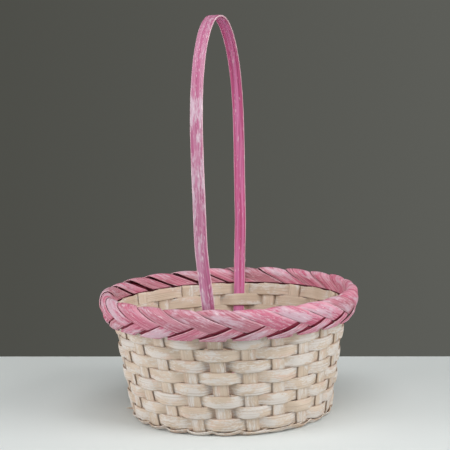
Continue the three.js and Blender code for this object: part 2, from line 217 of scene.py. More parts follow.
class Shader:
    """A material whose nodes are made by short calls. A value that is a socket is linked."""

    def __init__(self, name):
        self.material = bpy.data.materials.new(name)
        self.material.use_nodes = True
        self.tree = self.material.node_tree
        self.tree.nodes.clear()
        self.output = self.tree.nodes.new("ShaderNodeOutputMaterial")
        self.bsdf = self.tree.nodes.new("ShaderNodeBsdfPrincipled")
        self.tree.links.new(self.bsdf.outputs[0], self.output.inputs[0])
        self.grain = self.split("grain")
        self.relief = self.split("relief")

    def set(self, socket, value):
        if isinstance(value, bpy.types.NodeSocket):
            self.tree.links.new(value, socket)
        elif isinstance(value, tuple) and socket.type == "RGBA":
            socket.default_value = (*value, 1.0)
        else:
            socket.default_value = value

    def split(self, attribute):
        node = self.tree.nodes.new("ShaderNodeAttribute")
        node.attribute_name = attribute
        parts = self.tree.nodes.new("ShaderNodeSeparateXYZ")
        self.tree.links.new(node.outputs["Vector"], parts.inputs[0])
        return parts.outputs

    def math(self, operation, a, b=0.0, c=0.0):
        node = self.tree.nodes.new("ShaderNodeMath")
        node.operation = operation
        for socket, value in zip(node.inputs, (a, b, c)):
            self.set(socket, value)
        return node.outputs[0]

    def scaled(self, value, factor, offset=0.0):
        return self.math("MULTIPLY_ADD", value, factor, offset)

    def between(self, value, low, high, start=0.0, end=1.0):
        node = self.tree.nodes.new("ShaderNodeMapRange")
        node.interpolation_type = "SMOOTHSTEP"
        for socket, number in zip(node.inputs, (value, low, high, start, end)):
            self.set(socket, number)
        return node.outputs[0]

    def noise(self, along, across, turn, detail=3.0, rough=0.55, distortion=0.0):
        """Noise over the strip. along and across are cycles per millimetre, turn parts the strips."""
        place = self.tree.nodes.new("ShaderNodeCombineXYZ")
        self.set(place.inputs[0], self.scaled(self.grain[0], along))
        self.set(place.inputs[1], self.scaled(self.grain[1], across))
        self.set(place.inputs[2], self.scaled(self.grain[2], turn))
        node = self.tree.nodes.new("ShaderNodeTexNoise")
        self.set(node.inputs["Vector"], place.outputs[0])
        self.set(node.inputs["Scale"], 1.0)
        self.set(node.inputs["Detail"], detail)
        self.set(node.inputs["Roughness"], rough)
        self.set(node.inputs["Distortion"], distortion)
        return node.outputs[0]

    def mix(self, factor, a, b):
        node = self.tree.nodes.new("ShaderNodeMix")
        node.data_type = "RGBA"
        self.set(node.inputs[0], factor)
        self.set(node.inputs[6], a)
        self.set(node.inputs[7], b)
        return node.outputs[2]

    def bump(self, height, distance):
        node = self.tree.nodes.new("ShaderNodeBump")
        self.set(node.inputs["Height"], height)
        self.set(node.inputs["Distance"], distance)
        self.set(node.inputs["Strength"], BUMP_STRENGTH)
        return node.outputs[0]

    def finish(self, colour, roughness, normal, specular):
        self.set(self.bsdf.inputs["Base Color"], colour)
        self.set(self.bsdf.inputs["Roughness"], roughness)
        self.set(self.bsdf.inputs["Normal"], normal)
        self.set(self.bsdf.inputs["Specular IOR Level"], specular)
        return self.material


def splint_material(name, pale, tan, dark, wash, washed, inner_wash):
    """Bamboo splint with fibres along it, whitewash that caught on what stands proud, and painted shade
    where it lies low in the weave.
    """
    s = Shader(name)
    fibres = s.noise(0.012, 1.25, 17.3, 4.0, 0.62)
    ribbons = s.noise(0.006, 0.42, 41.9, 1.0)
    tints = s.noise(0.035, 0.05, 11.3, 1.0)
    patches = s.noise(0.045, 0.12, 29.7, 2.0, 0.5, 0.3)
    mottle = s.noise(0.28, 0.75, 53.1, 4.0, 0.7)
    rosy = s.noise(0.03, 0.09, 67.7, 2.0)
    bare = s.mix(s.between(tints, 0.36, 0.64), tan, pale)
    bare = s.mix(s.between(ribbons, 0.52, 0.6, 0.0, 0.35), bare, tan)
    bare = s.mix(s.between(rosy, 0.52, 0.7, 0.0, 0.4), bare, ROSY)
    outer = s.scaled(s.relief[1], washed - inner_wash, inner_wash)
    lift = s.scaled(s.relief[0], 0.2, -0.1)
    amount = s.math("ADD", s.math("ADD", patches, s.scaled(mottle, 0.95, -0.475)), lift)
    amount = s.math("ADD", amount, outer)
    cover = s.between(amount, 0.42, 0.62, 0.0, 0.9)
    colour = s.mix(cover, bare, wash)
    colour = s.mix(s.between(fibres, 0.5, 0.68, 0.0, 0.5), colour, dark)
    across = s.math("ABSOLUTE", s.grain[1])
    colour = s.mix(s.between(across, 4.9, 5.8, 0.0, 0.4), colour, dark)
    # painted shade: darker where the strip lies low, behind stakes and neighbours
    painted_shade = s.between(s.relief[0], 0.0, 0.35, 0.3, 0.0)
    colour = s.mix(painted_shade, colour, dark)
    height = s.math("ADD", fibres, s.scaled(mottle, 0.35))
    normal = s.bump(height, 0.0003)
    return s.finish(colour, s.between(cover, 0.0, 1.0, 0.62, 0.88), normal, 0.25)


def dyed_material(name, pink, deep, pale, lilac, inner, inner_pale, inner_share, brushed, dusty,
                  edge_at, edge_share, shine):
    """Dyed splint: fibres along it, dry-brushed white on what stands proud, and painted shade in deep
    crimson in the gaps.
    """
    s = Shader(name)
    fibres = s.noise(0.012, 1.15, 19.1, 4.0, 0.65)
    bands = s.noise(0.008, 0.4, 37.7, 2.0)
    patches = s.noise(0.045, 0.15, 31.3, 3.0, 0.6, 0.4)
    mottle = s.noise(0.16, 0.8, 59.9, 4.0, 0.72)
    flecks = s.noise(0.13, 1.0, 71.7, 2.0, 0.5)
    own = s.noise(0.0, 0.0, 83.9, 0.0)
    other = s.noise(0.0, 0.0, 47.3, 0.0)
    inside = s.between(s.relief[1], 0.2, 0.8, inner_share, 0.0)
    colour = s.mix(s.between(bands, 0.36, 0.64), pink, pale)
    colour = s.mix(s.between(other, 0.45, 0.7, 0.0, dusty), colour, DUSTY)
    inner_colour = s.mix(s.between(bands, 0.36, 0.64), inner, inner_pale)
    colour = s.mix(inside, colour, inner_colour)
    colour = s.mix(s.between(fibres, 0.48, 0.66, 0.0, 0.6), colour, deep)
    lift = s.scaled(s.relief[0], 0.42, -0.21)
    amount = s.math("ADD", s.math("ADD", patches, s.scaled(mottle, 0.8, -0.4)), lift)
    amount = s.math("ADD", amount, s.scaled(own, 0.7, brushed - 0.35))
    amount = s.math("ADD", amount, s.scaled(inside, -0.22))
    colour = s.mix(s.between(amount, 0.46, 0.74, 0.0, 0.85), colour, lilac)
    colour = s.mix(s.between(flecks, 0.62, 0.72, 0.0, 0.6), colour, FLECK)
    across = s.math("ABSOLUTE", s.grain[1])
    # paler towards both edges of the strip
    edge = s.between(across, edge_at - 1.1, edge_at - 0.2, 0.0, edge_share)
    colour = s.mix(edge, colour, PALE_EDGE)
    # painted shade: deep crimson where the strip lies low, under its neighbours and in the gaps
    painted_shade = s.between(s.relief[0], 0.0, 0.45, 0.95, 0.0)
    colour = s.mix(painted_shade, colour, deep)
    height = s.math("ADD", fibres, s.scaled(mottle, 0.5))
    normal = s.bump(height, 0.00028)
    return s.finish(colour, s.between(fibres, 0.3, 0.7, shine, shine + 0.2), normal, 0.35)


# Each slot of the record has one material, under the same name.
WALL, PLAIN, BRAID, HOOP = "whitewashed_splint", "plain_splint", "pink_rim", "pink_handle"
# dark and deep colour the fibre lines, and are also the painted shade where a strip lies low
MATERIALS = {
    WALL: splint_material(WALL, pale=(0.71, 0.585, 0.475), tan=(0.62, 0.50, 0.39),
                          dark=(0.40, 0.28, 0.20), wash=(0.735, 0.69, 0.655), washed=0.0,
                          inner_wash=-0.08),
    PLAIN: splint_material(PLAIN, pale=(0.66, 0.53, 0.42), tan=(0.58, 0.43, 0.32),
                           dark=(0.36, 0.23, 0.17), wash=(0.74, 0.69, 0.64), washed=0.0,
                           inner_wash=-0.1),
    BRAID: dyed_material(BRAID, pink=(0.57, 0.135, 0.225), deep=(0.24, 0.016, 0.042),
                         pale=(0.72, 0.34, 0.43), lilac=(0.64, 0.47, 0.55), inner=(0.42, 0.06, 0.13),
                         inner_pale=(0.5, 0.1, 0.2), inner_share=0.0, brushed=-0.13, dusty=0.7,
                         edge_at=5.6, edge_share=0.35, shine=0.55),
    HOOP: dyed_material(HOOP, pink=(0.44, 0.115, 0.235), deep=(0.22, 0.03, 0.09),
                        pale=(0.54, 0.245, 0.37), lilac=(0.60, 0.46, 0.55),
                        inner=(0.55, 0.085, 0.23), inner_pale=(0.70, 0.21, 0.43),
                        inner_share=0.9, brushed=-0.04, dusty=0.0, edge_at=6.0,
                        edge_share=0.7, shine=0.42)}

# ---------------------------------------------------------------- the wall surface


def stake_angle(index, z):
    return index * STEP + math.radians(STAKE_LEAN) * (1 - np.asarray(z, float) / WALL_HEIGHT)


def wall_normal(angle):
    return radial(angle) * math.cos(WALL_TILT) - UP * math.sin(WALL_TILT)


def wall_up(angle):
    return radial(angle) * math.sin(WALL_TILT) + UP * math.cos(WALL_TILT)


def wall_point(angle, z, offset=0.0):
    z = np.asarray(z, float)
    radius = FOOT_RADIUS + WALL_SLOPE * z
    point = radial(angle) * radius[..., None] + UP * z[..., None]
    return point + wall_normal(angle) * np.asarray(offset, float)[..., None]


def stake_across(index, z):
    """The direction across a stake, counterclockwise seen from above."""
    angle = stake_angle(index, z)
    ahead = wall_point(stake_angle(index, z + 0.5), z + 0.5)
    ahead = ahead - wall_point(stake_angle(index, z - 0.5), z - 0.5)
    return unit(np.cross(wall_normal(angle), ahead)) * -1.0


# ---------------------------------------------------------------- base and wall splints

BEND_TURN = math.pi / 2 - WALL_TILT
BEND_TANGENT = BEND_RADIUS * math.tan(BEND_TURN / 2)
BEND_START = FOOT_RADIUS + WALL_SLOPE * BASE_LEVEL - BEND_TANGENT
BEND_TOP = BASE_LEVEL + BEND_TANGENT * math.cos(WALL_TILT)
LANES = STAKES // 4
LANE_PITCH = STAKE_WIDTH + LANE_GAP
MAT_EDGE = LANES / 2 * LANE_PITCH
MAT_TURN = STEP / 2 + math.radians(STAKE_LEAN)
FAN_RADIUS = math.hypot(MAT_EDGE, MAT_EDGE - LANE_PITCH / 2) + FAN_RUN
MAT_LIFT = (STAKE_THICKNESS + CLEARANCE) / 2


STAKE_SPARE = 0.5                # the look's splints are wider on the wall than the CAD model's
STAKE_SPARE_MOST = 1.0           # and by up to this much more
LEG_STAKE_SPARE = 2.1            # a stake with a leg behind it hides the leg
LEG_STAKE_SHIFT = 0.3            # and stands aside by this share of the leg's own shift


def half_splint(family, lane, side):
    """Middle points and directions across, from the middle of the mat to the top of the wall."""
    offset = lane - (LANES - 1) / 2
    lane_centre = offset * LANE_PITCH
    fan_angle = offset * STEP
    heading = MAT_TURN + family * math.pi / 2 + (math.pi if side < 0 else 0.0)
    axis, cross = radial(heading), tangent(heading) * side
    outward = heading + side * fan_angle
    middles, sides = [], []

    # over and under the other family, then level
    run = np.linspace(0.5, MAT_EDGE - 1, 40)
    lifts = []
    for n in range(LANES // 2, LANES):
        crossing = n if side > 0 else LANES - 1 - n
        crossed = LANES - 1 - crossing if family == 0 else crossing
        lifts.append(MAT_LIFT if (lane + crossed + family) % 2 == 0 else -MAT_LIFT)
    centres = (np.arange(LANES // 2) + 0.5) * LANE_PITCH
    flat = STAKE_WIDTH / 2 + CLEARANCE
    knots = [0.0]
    values = [0.0]
    for centre, lift in zip(centres, lifts):
        knots += [centre - flat, centre + flat]
        values += [lift, lift]
    lift = np.interp(run, knots, values)
    middles.append(axis * run[:, None] + cross * lane_centre + UP * (BASE_LEVEL + lift)[:, None])
    sides.append(np.broadcast_to(cross, (len(run), 3)))

    # fan out along a parabola to the spoke of the stake
    corner = abs(lane_centre / math.tan(fan_angle))
    start = np.array([MAT_EDGE, lane_centre])
    elbow = np.array([corner, lane_centre])
    end = FAN_RADIUS * np.array([math.cos(fan_angle), math.sin(fan_angle)])
    t = np.linspace(0.1, 1, 10)[:, None]
    plan = (1 - t) ** 2 * start + 2 * t * (1 - t) * elbow + t ** 2 * end
    way = 2 * (1 - t) * (elbow - start) + 2 * t * (end - elbow)
    settle = values[-1] * (1 - ease(t[:, 0] / 0.8))
    middles.append(axis * plan[:, :1] + cross * plan[:, 1:] + UP * (BASE_LEVEL + settle)[:, None])
    sides.append(-axis * way[:, 1:] + cross * way[:, :1])

    # out to the bend
    spoke = np.linspace(FAN_RADIUS, BEND_START, 8)[1:-1]
    middles.append(radial(outward) * spoke[:, None] + UP * BASE_LEVEL)
    sides.append(np.broadcast_to(tangent(outward) * side, (len(spoke), 3)))

    # round the bend and up the wall
    turn = np.linspace(0, BEND_TURN, 9)
    radius = BEND_START + BEND_RADIUS * np.sin(turn)
    height = BASE_LEVEL + BEND_RADIUS * (1 - np.cos(turn))
    middles.append(radial(outward) * radius[:, None] + UP * height[:, None])
    sides.append(np.broadcast_to(tangent(outward) * side, (len(turn), 3)))
    index = round((outward - math.radians(STAKE_LEAN)) / STEP)
    z = np.linspace(BEND_TOP, WALL_HEIGHT + 0.4, 40)[1:]
    angle = stake_angle(index, z)
    middles.append(wall_point(angle, z))
    sides.append(stake_across(index, z) * side)
    return np.concatenate(middles), np.concatenate(sides), index % STAKES


def make_splint(family, lane):
    number = family * LANES + lane + 1
    first, first_side, first_stake = half_splint(family, lane, -1)
    second, second_side, second_stake = half_splint(family, lane, 1)
    middle = np.concatenate([first[::-1], second])
    side = np.concatenate([first_side[::-1], second_side])
    rng = np.random.default_rng(700 + number)
    on_wall = ease((middle[:, 2] - 8) / 14)
    spares = rng.uniform(0.0, STAKE_SPARE_MOST, 2)
    shifts = [0.0, 0.0]
    for end, stake in enumerate((first_stake, second_stake)):
        if stake in HANDLE_STAKES:
            spares[end] = LEG_STAKE_SPARE
            aside = 1 if stake == HANDLE_STAKES[1] else -1
            shifts[end] = LEG_STAKE_SHIFT * HANDLE_RIM_SHIFT * aside
    first_end = np.arange(len(middle)) < len(first)
    spare = np.where(first_end, spares[0], spares[1])
    shift = np.where(first_end, shifts[0], shifts[1]) * on_wall * (middle[:, 2] / WALL_HEIGHT)
    middle = middle + tangent(np.arctan2(middle[:, 1], middle[:, 0])) * shift[:, None]
    width = STAKE_WIDTH - 0.2 + (STAKE_SPARE + spare) * on_wall
    grid, along, across = sweep(middle, side, width, 100 + number, 0.25)
    proud = 0.4 + wobble(along, 300 + number, 60, 0.12)
    name = f"splint_{number:02d}"
    # the underside of the base and the outside of the wall are one face
    make_strip("wall_" + name, grid, STAKE_THICKNESS, along, across, number * 0.37, [name], WALL,
               proud, face=-1.0)


# ---------------------------------------------------------------- wall rows

ROW_HEIGHT = (ROW_PITCH - ROW_GAP) / math.cos(WALL_TILT)
STATIONS_PER_STAKE = 14
FLOAT_REACH = 22.0               # from the middle of a float to where it is hidden
FLOAT_BOW = (0.75, 0.35)         # how far a float stands out at its middle, and the unevenness
FLOAT_SWELL = (0.75, 0.45)       # how much taller it is there, and the unevenness
FLOAT_SAG = 0.25
FLOAT_CUP = 0.6                  # how much closer to the stakes a float's edges lie
PASS_SWELL = 0.8                 # how much taller a row is where it passes behind a stake
LAP = 1.0                        # and on all of it but the crossing, which closes the slits


def make_row(row):
    z = FIRST_ROW_EDGE + (row + 0.5) * ROW_PITCH
    # the ends meet behind a stake, on an inside pass
    seam = (5 * row + 3) % STAKES
    seam += (seam + row + 1) % 2
    place = seam + np.linspace(0.01, STAKES - 0.01, STAKES * STATIONS_PER_STAKE + 1)
    before = np.floor(place).astype(int)
    pitch = (FOOT_RADIUS + WALL_SLOPE * z) * STEP
    past = (place - before) * pitch

    def reach_and_flat(stake):
        """How far out the strip passes a stake, and how far it stays flat on either side."""
        stake = np.mod(stake, STAKES)
        outside = (stake + row) % 2 == 0
        over_leg = np.isin(stake, HANDLE_STAKES) & ~outside
        side = np.where(stake == HANDLE_STAKES[0], 1, -1)
        shift = np.where(over_leg, leg_shift(side, z), 0.0)
        reach = np.where(outside, WEAVER_OFFSET, -WEAVER_OFFSET)
        reach = np.where(over_leg, reach - HANDLE_THICKNESS - CLEARANCE, reach)
        flat = STAKE_WIDTH / 2 + 0.5
        return outside, reach, flat - np.minimum(shift, 0), flat + np.maximum(shift, 0)

    outside, reach, _, flat_from = reach_and_flat(before)
    _, next_reach, next_flat, _ = reach_and_flat(before + 1)
    leave = ease((past - flat_from) / (pitch - next_flat - flat_from))
    offset = reach + (next_reach - reach) * leave
    # away from the crossing the strip laps its neighbours
    lap = LAP * ease((np.abs(offset) / WEAVER_OFFSET - 0.35) / 0.5)
    # a float bows out over its stake, grows taller and sags a little
    from_float = np.where(outside, past, pitch - past)
    crest = np.cos(np.clip(from_float / FLOAT_REACH, 0, 1) * math.pi / 2) ** 2
    float_stake = np.where(outside, before, before + 1)
    bow = FLOAT_BOW[0] + FLOAT_BOW[1] * np.sin(float_stake * 2.3 + row * 1.7)
    offset = offset + crest * bow
    angle = stake_angle(place, z)
    length = (place - place[0]) * pitch
    drift = wobble(length, 40 + row, 130.0, 0.22) - FLOAT_SAG * crest
    middle = wall_point(angle, np.full_like(angle, z) + drift, offset)
    swell = FLOAT_SWELL[0] + FLOAT_SWELL[1] * np.sin(float_stake * 3.1 + row * 2.9)
    dip = np.cos(np.clip((pitch - from_float) / (0.5 * pitch), 0, 1) * math.pi / 2) ** 2
    width = ROW_HEIGHT - 0.1 + swell * crest + PASS_SWELL * dip + lap
    grid, along, across = sweep(middle, wall_up(angle), width, 10 + row, 0.2)
    # each float cups: its edges lie closer to the stakes than its middle
    cup = crest[:, None] * FLOAT_CUP * (ACROSS[None, :] ** 2)
    grid = grid - wall_normal(angle)[:, None, :] * cup[..., None]
    proud = 0.32 + 0.55 * crest[:, None] * (1 - 0.4 * ACROSS[None, :] ** 2)
    name = f"wall_row_{row + 1:02d}"
    make_strip("woven_" + name, grid, WEAVER_THICKNESS, along, across, 7.3 + row * 1.91, [name], WALL,
               proud)


# ---------------------------------------------------------------- base rings and binding


def make_base_ring(ring):
    pitch = (BEND_START - FAN_RADIUS) / BASE_RINGS
    radius = FAN_RADIUS + (ring + 0.5) * pitch
    place = np.linspace(0.51, STAKES + 0.49, STAKES * 12 + 1)
    index = np.round(place).astype(int)
    half_pitch = radius * STEP / 2
    aside = (place - index) * 2 * half_pitch
    over = (np.mod(index, STAKES) + ring) % 2 == 0
    lift = np.where(over, WEAVER_OFFSET, -WEAVER_OFFSET)
    flat = STAKE_WIDTH / 2 + 0.2
    leave = ease((np.abs(aside) - flat) / (2 * (half_pitch - flat)))
    lift = lift * (1 - 2 * leave)
    angle = stake_angle(place, 0.0)
    middle = radial(angle) * radius + UP * (BASE_LEVEL + lift)[:, None]
    grid, along, across = sweep(middle, radial(angle), pitch - BASE_RING_GAP, 70 + ring, 0.1)
    proud = np.where(over, 0.6, 0.4)[:, None] + 0 * across
    name = f"base_ring_{ring + 1:02d}"
    make_strip("woven_" + name, grid, WEAVER_THICKNESS, along, across, 31.7 + ring * 2.3, [name],
               PLAIN, proud)


BINDING_SPARE = 2.2              # the look's strands are this much wider than the CAD model's
BINDING_SHARE = 0.5              # and rise and fall by this share of the CAD model's


def make_binding(number, start):
    """One of two strands that twist about each other, with the stakes in their loops."""
    radius = BEND_START + BEND_RADIUS * math.sin(BINDING_PLACE)
    z = BASE_LEVEL + BEND_RADIUS * (1 - math.cos(BINDING_PLACE))
    edge_phase = math.asin(STAKE_WIDTH / 2 / radius) / STEP * math.pi
    swing = ((STAKE_THICKNESS + BINDING_THICKNESS) / 2 + BINDING_EASE) / math.cos(edge_phase)
    place = np.linspace(0.5, STAKES + 0.48, STAKES * 16)
    angle = stake_angle(place, 0.0)
    phase = math.pi * place + start
    normal = radial(angle) * math.sin(BINDING_PLACE) - UP * math.cos(BINDING_PLACE)
    rise = radial(angle) * math.cos(BINDING_PLACE) + UP * math.sin(BINDING_PLACE)
    slack = 1 + 0.4 * np.sin(place * 1.7 + number)
    middle = radial(angle) * radius + UP * z
    middle = middle + normal * (swing * np.cos(phase))[:, None]
    middle = middle + rise * (BINDING_SHARE * BINDING_RISE * slack * np.sin(phase))[:, None]
    width = BINDING_WIDTH + BINDING_SPARE + wobble(place * 25, 90 + number, 60, 0.8)
    grid, along, across = sweep(middle, rise, width, 80 + number, 0.15)
    # proud is low where the strand passes behind a stake, and the material paints shade there
    proud = (0.5 + 0.35 * np.cos(phase))[:, None] + 0 * across
    name = f"base_binding_{number:02d}"
    make_strip("twined_" + name, grid, BINDING_THICKNESS, along, across, 53.1 + number * 3.1, [name],
               PLAIN, proud)


# ---------------------------------------------------------------- braided rim


def bezier(points, t):
    a, b, c, d = (np.array(p, float) for p in points)
    t = np.asarray(t)[:, None]
    return (1 - t) ** 3 * a + 3 * (1 - t) ** 2 * t * b + 3 * (1 - t) * t ** 2 * c + t ** 3 * d


def rim_at(out, rise):
    return (WALL_TOP_RADIUS + out, WALL_HEIGHT + rise)


RIDGE = rim_at(0.62 * RIM_REACH, RIM_HEIGHT)
INSIDE = (rim_at(RIM_INSET + WALL_SLOPE * RIM_START, RIM_START),
          rim_at(RIM_INSET + WALL_SLOPE * 0.45 * RIM_HEIGHT, 0.45 * RIM_HEIGHT),
          rim_at(0.4 * RIM_REACH, RIM_HEIGHT), RIDGE)
OUTSIDE = (RIDGE, rim_at(0.9 * RIM_REACH, RIM_HEIGHT), rim_at(1.36 * RIM_REACH, 0.28 * RIM_HEIGHT),
           rim_at(0.52 * RIM_REACH, -RIM_DROP))
PROFILE = np.concatenate([bezier(INSIDE, np.linspace(0, 1, 120)),
                          bezier(OUTSIDE, np.linspace(0, 1, 240))[1:]])
PROFILE_AT = np.concatenate([[0], np.cumsum(np.linalg.norm(np.diff(PROFILE, axis=0), axis=1))])
RIM_LENGTH = PROFILE_AT[-1]
PROFILE_WAY = np.gradient(PROFILE, PROFILE_AT, axis=0)
RIM_RADIUS = WALL_TOP_RADIUS + 0.75 * RIM_REACH
RIM_PITCH = RIM_RADIUS * STEP
RIM_SPREAD = RIM_PITCH - RIM_SLOT
RIM_RUN = 1 / math.tan(math.asin(RIM_WIDTH / RIM_SPREAD))
RIM_LEVEL = (RIM_THICKNESS + RIM_LAYER_GAP) / 2
RIM_NARROW_UP = (7, 8, 9, 10)    # strips that are rolled narrow before the fold
RIM_NARROW_BACK = (15, 17, 18, 19, 20)   # and strips that are rolled narrow after it
LINING_LEVEL = -1.9              # under both layers of the braid
LINING_THICKNESS = 0.5
CORE_RADIUS = 1.9                # a little less than the CAD model's


def rim_point(along, down, level):
    """A place on the braid: along the rim, down the profile, and away from the core."""
    inside = np.clip(down, 0, RIM_LENGTH)
    point = np.stack([np.interp(inside, PROFILE_AT, PROFILE[:, k]) for k in (0, 1)], -1)
    way = unit(np.stack([np.interp(inside, PROFILE_AT, PROFILE_WAY[:, k]) for k in (0, 1)], -1))
    point = point + way * (down - inside)[..., None]
    point = point + np.stack([-way[..., 1], way[..., 0]], -1) * np.asarray(level)[..., None]
    return radial(along / RIM_RADIUS) * point[..., :1] + UP * point[..., 1:]


def run_of_lines(keys, counts):
    """Lines across a strip between key lines: what both ends of each line are at."""
    left, right = [], []
    for (a, b), count in zip(zip(keys[:-1], keys[1:]), counts):
        t = np.linspace(0, 1, count, endpoint=False)
        left.append(a[0] + (b[0] - a[0]) * t)
        right.append(a[1] + (b[1] - a[1]) * t)
    left = np.concatenate(left + [[keys[-1][0]]])[:, None]
    right = np.concatenate(right + [[keys[-1][1]]])[:, None]
    return left, right


def make_rim_strip(index):
    """Up the inside, over the ridge, below the neighbour, folded, and back up over the next."""
    rng = np.random.default_rng(500 + index)
    lane = index * RIM_PITCH + rng.uniform(-0.7, 0.7)
    fold_climb = 2 * RIM_LENGTH * RIM_RUN
    half = RIM_PITCH / 2
    first_width = rng.uniform(0.94, 1.06)
    if index in RIM_NARROW_UP:
        first_width = rng.uniform(0.7, 0.86)
    second_width = rng.uniform(0.74, 1.0)
    if index in RIM_NARROW_BACK:
        second_width = rng.uniform(0.5, 0.66)
    lift = rng.uniform(0.0, 1.0)
    hump = rng.uniform(0.5, 1.7)
    level, grid_along, grid_down, proud = [], [], [], []
    convex = 1 - ACROSS[None, :] ** 2

    # first run: fall is fixed across the strip, climb grows along it
    low, high = lane - half, lane + half
    below = fold_climb + lane - 2 * RIM_PITCH
    ridge_end = RIM_LENGTH - (RIM_PITCH + half) / RIM_RUN - 2
    left, right = run_of_lines([(low, high),
                                (2 * RIM_RUN * ridge_end + low, 2 * RIM_RUN * ridge_end + high),
                                (below - half, below - half),
                                (below + RIM_PITCH + half, below + RIM_PITCH + half),
                                (fold_climb + low, fold_climb + high)], [24, 8, 20, 6])
    through = np.linspace(0, 1, len(left))[:, None]
    width = first_width + (0.8 - first_width) * ease((through - 0.72) / 0.25)
    spread = (ACROSS[None, :] * width + 1) / 2
    climb = left + (right - left) * spread
    fall = low + (high - low) * spread
    along = (fall + climb) / 2
    down = (climb - fall) / (2 * RIM_RUN)
    under_from = below + RIM_PITCH / 2
    step = ease((climb - (under_from - 2.6)) / 5.2)
    near = ease((climb - (under_from - 26)) / 24)
    begin = ease((down - 0.06 * RIM_LENGTH) / (0.2 * RIM_LENGTH))
    ridge = np.exp(-((down - 0.34 * RIM_LENGTH) / (0.13 * RIM_LENGTH)) ** 2)
    open_part = begin * (1 - near)
    raised = (0.9 + 0.8 * lift) * (0.5 + 0.5 * ACROSS[None, :]) * begin * (1 - 0.8 * near)
    level.append(RIM_LEVEL * (1 - 2 * step) + raised + 0.5 * convex * open_part
                 + hump * ridge * (0.35 + 0.65 * convex))
    # proud drops where the strip dives under its neighbour and where it starts, tucked in; the material
    # paints shade there
    proud.append(0.92 - 0.16 * ACROSS[None, :] ** 2 - 1.1 * step - 0.45 * near - 0.45 * (1 - begin))
    grid_along.append(along)
    grid_down.append(down)

    # the fold round the lower edge
    fold_at = lane + RIM_LENGTH * RIM_RUN
    loop = RIM_LEVEL + 0.35 + 0.5 * lift
    for turn in np.linspace(0, math.pi, 7)[1:-1]:
        bulge = loop * (0.75 + 0.25 * convex) * math.sin(turn)
        grid_along.append(fold_at + 0.8 * half * ACROSS[None, :])
        grid_down.append(RIM_LENGTH + bulge)
        level.append(np.full_like(bulge, -RIM_LEVEL + (loop + RIM_LEVEL) * (1 - math.cos(turn)) / 2))
        proud.append(np.full_like(bulge, 0.5))

    # second run: climb is fixed across the strip, fall grows along it
    left, right = run_of_lines([(low, high), (lane + RIM_PITCH - half, lane + RIM_PITCH - half),
                                (lane + 2 * RIM_PITCH, lane + 2 * RIM_PITCH)], [9, 24])
    through = np.linspace(0, 1, len(left))[:, None]
    width = 0.8 + (second_width - 0.8) * ease(through / 0.3)
    spread = (ACROSS[None, :] * width + 1) / 2
    fall = left + (right - left) * spread
    climb = fold_climb + low + (high - low) * spread
    along = (fall + climb) / 2
    down = (climb - fall) / (2 * RIM_RUN)
    under_from = lane + 1.5 * RIM_PITCH
    step = ease((fall - (under_from - 2.6)) / 5.2)
    near = ease((fall - (under_from - 15)) / 13)
    begin = ease((fall - low) / (0.4 * RIM_PITCH))
    from_fold = np.clip((RIM_LENGTH - down) / (0.4 * RIM_LENGTH), 0, 1)
    level.append((RIM_LEVEL + (loop - RIM_LEVEL) * (1 - begin)) * (1 - 2 * step)
                 + ((0.4 + 0.5 * lift) * np.sin(np.pi * from_fold) + 0.6 * convex * begin) * (1 - near))
    # proud drops where the strip dives under its neighbour; the material paints shade there
    proud.append(0.58 + 0.4 * begin - 0.16 * ACROSS[None, :] ** 2 - 1.1 * step - 0.4 * near)
    grid_along.append(along)
    grid_down.append(down)

    along = np.concatenate(grid_along)
    points = rim_point(along, np.concatenate(grid_down), np.concatenate(level))
    middle = points[:, len(ACROSS) // 2]
    length = np.concatenate([[0], np.cumsum(np.linalg.norm(np.diff(middle, axis=0), axis=1))])
    ragged = wobble(length, 900 + index, 34, 0.22)[:, None] * ACROSS[None, :] ** 3
    points = points + unit(np.gradient(points, axis=1)) * ragged[..., None]
    name = f"rim_strip_{index + 1:02d}"
    length = np.broadcast_to(length[:, None], along.shape)
    across = np.broadcast_to(RIM_WIDTH / 2 * ACROSS[None, :], along.shape)
    make_strip("braided_" + name, points, RIM_THICKNESS, length, across, 3.1 + index * 1.37, [name],
               BRAID, np.concatenate(proud), face=-1.0)


def make_rim_shade_lining():
    """A thin dyed band under the braid, coloured as painted shade, which shows deep crimson where the
    strips part. It is no
    piece of the CAD model: it stands for the strips' hidden layers, lying in shadow."""
    along = np.linspace(0, 2 * math.pi * RIM_RADIUS, 193)
    down = np.linspace(2.0, RIM_LENGTH - 2.5, 15)
    along, down = np.meshgrid(along, down, indexing="ij")
    grid = rim_point(along, down, np.full_like(along, LINING_LEVEL))
    # zero proud gives the full painted shade: deep crimson
    make_strip("rim_shade_lining", grid, LINING_THICKNESS, along, down - RIM_LENGTH / 2, 88.8, [], BRAID,
               np.zeros_like(along), face=-1.0)


def make_rim_core():
    """The round hoop inside the braid, as a tube."""
    centre = np.array(rim_at(0.6 * RIM_REACH, 0.32 * RIM_HEIGHT))
    turn = np.linspace(0.0, 2 * math.pi, 13)[:-1]
    angle = np.linspace(0.0, 2 * math.pi, 145)[:-1]
    radius = centre[0] + CORE_RADIUS * np.cos(turn)
    height = centre[1] + CORE_RADIUS * np.sin(turn)
    points = radial(angle)[:, None, :] * radius[None, :, None] + UP * height[None, :, None]
    index = np.arange(len(angle) * len(turn)).reshape(len(angle), len(turn))
    next_angle = np.roll(index, -1, axis=0)
    next_turn = np.roll(index, -1, axis=1)
    both = np.roll(next_angle, -1, axis=1)
    faces = np.stack([index, next_angle, both, next_turn], -1).reshape(-1, 4)
    along = np.broadcast_to((angle * centre[0])[:, None], index.shape)
    across = np.broadcast_to((np.cos(turn) * 2)[None, :], index.shape)
    grain = np.stack([along, across, np.full_like(along, 77.0)], -1)
    relief = np.broadcast_to(np.array([0.3, 1.0, 0.0]), grain.shape)
    add_piece("rim_core_hoop", points.reshape(-1, 3), faces, grain, relief, ["rim_core"], PLAIN)


# ---------------------------------------------------------------- handle

KNOTS = (132.0, 311.0, 560.0, 742.0)     # where bamboo joints are, along the hoop from its near foot
KNOT_REACH = 1.8


